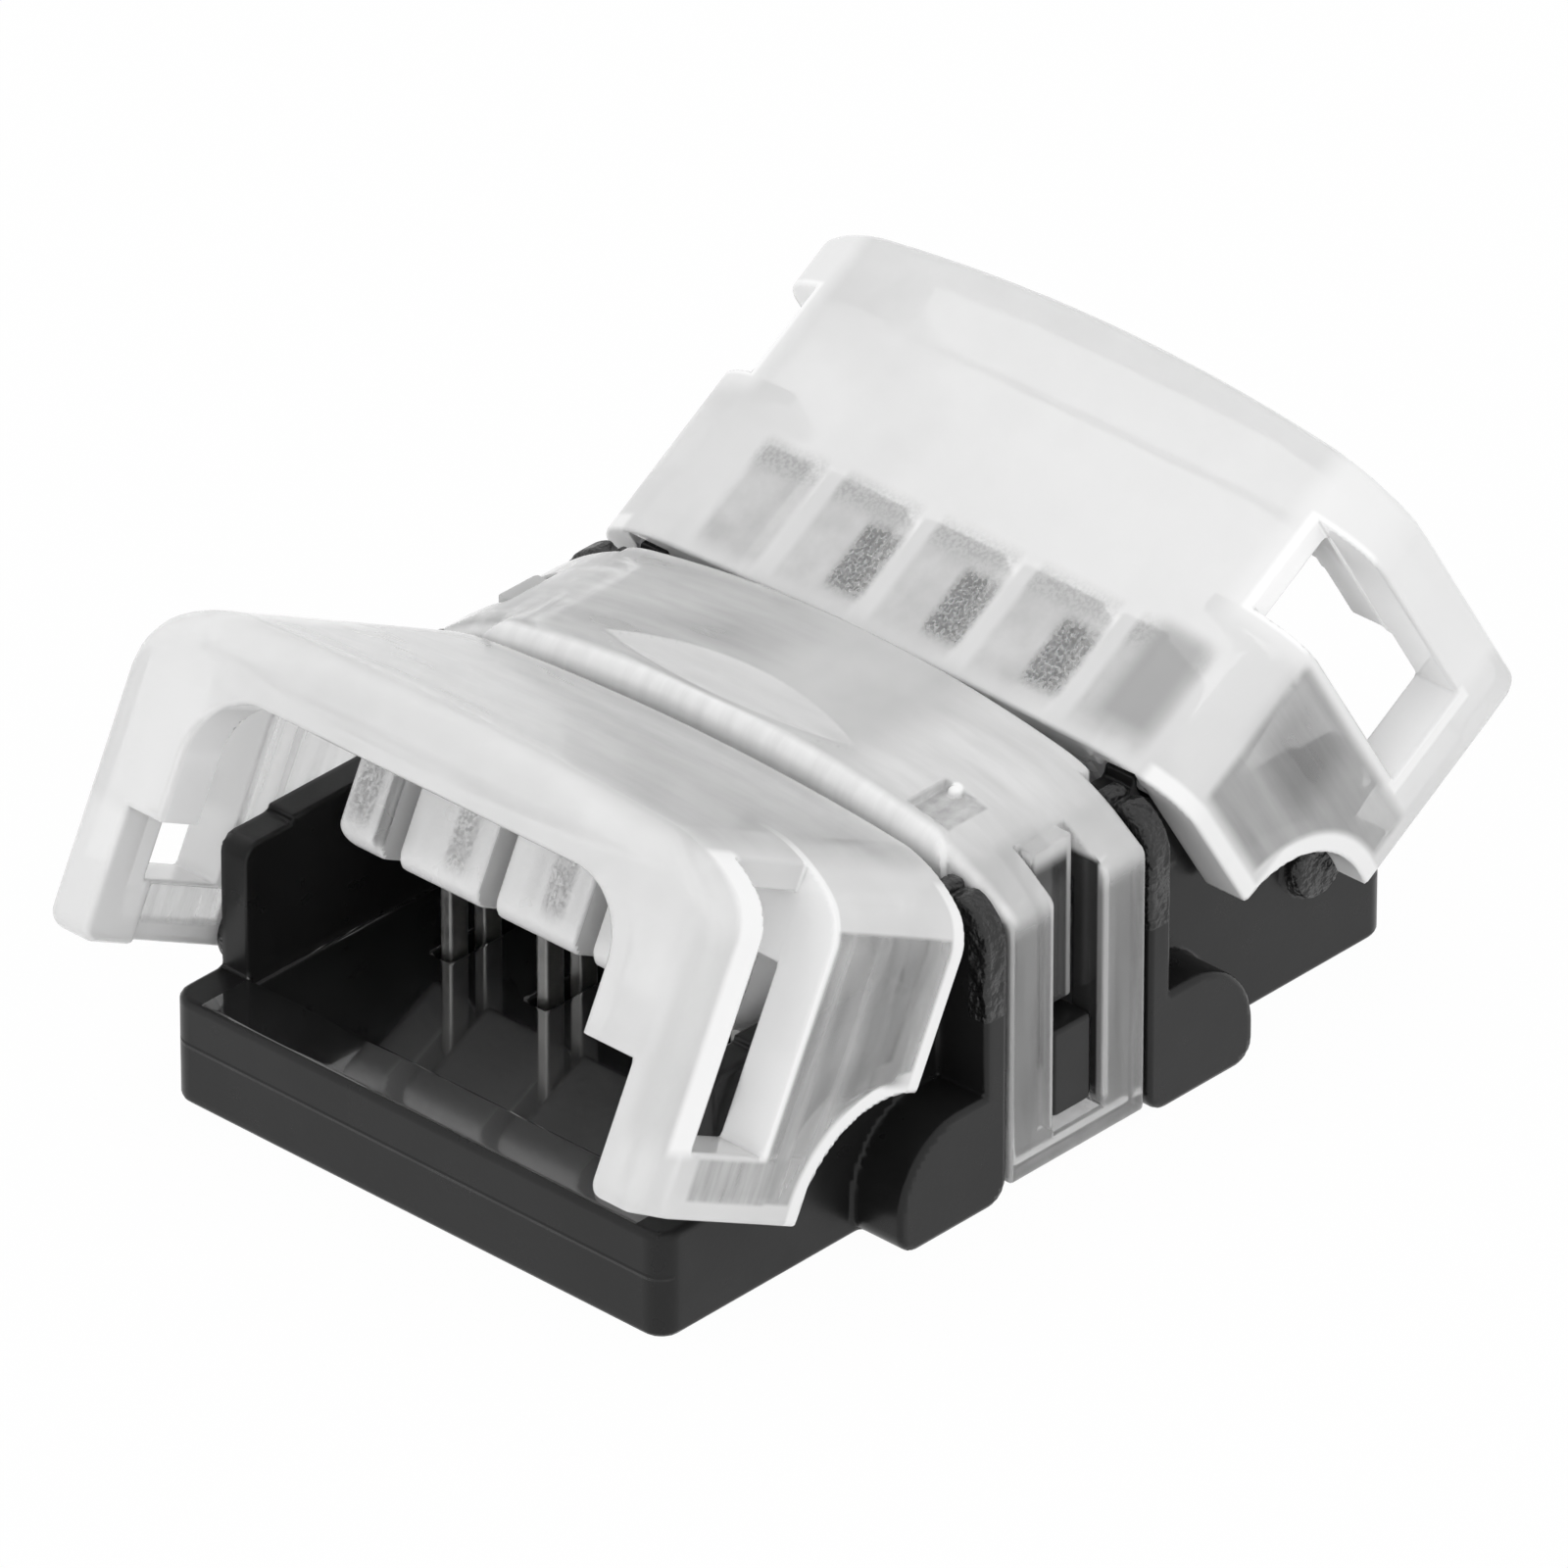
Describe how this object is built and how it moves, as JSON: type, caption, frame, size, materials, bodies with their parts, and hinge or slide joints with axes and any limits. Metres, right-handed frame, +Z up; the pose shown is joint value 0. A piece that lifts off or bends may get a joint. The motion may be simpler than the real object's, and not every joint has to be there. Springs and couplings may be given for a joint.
{
  "type": "led strip connector",
  "caption": "Snap-fit joiner for two flat light strips: black base with piercing contacts, clear middle cover and a clear hinged lid over each end.",
  "frame": {"origin": "centre of the base's flat underside", "axes": "+Z up out of the trays, +X along the strip towards the back lid, +Y across the strip"},
  "size_m": [0.0231, 0.0142, 0.0107],
  "materials": {
    "base_black": "satin black moulding with polished tray floors",
    "cover_clear": "clear moulding, polished outside, lightly frosted inside",
    "front_lid_clear": "clear moulding, polished, textured inner ribs",
    "back_lid_clear": "clear moulding, polished, textured inner ribs",
    "contact_metal_1": "bright tin plating",
    "contact_metal_2": "bright tin plating",
    "contact_metal_3": "bright tin plating",
    "contact_metal_4": "bright tin plating"
  },
  "bodies": {
    "base": {"base": "base_black", "centre_cover": "cover_clear", "contact_1": "contact_metal_1", "contact_2": "contact_metal_2", "contact_3": "contact_metal_3", "contact_4": "contact_metal_4"},
    "front_lid": {"front_lid": "front_lid_clear"},
    "back_lid": {"back_lid": "back_lid_clear"}
  },
  "joints": [
    {"name": "front_hinge", "type": "hinge", "parent": "base", "child": "front_lid", "pos_m": [-0.0032, 0, 0.006], "axis": [0, 1, 0], "range_deg": [-27, 13]},
    {"name": "back_hinge", "type": "hinge", "parent": "base", "child": "back_lid", "pos_m": [0.0032, 0, 0.006], "axis": [0, -1, 0], "range_deg": [-31.5, 8.5]}
  ]
}
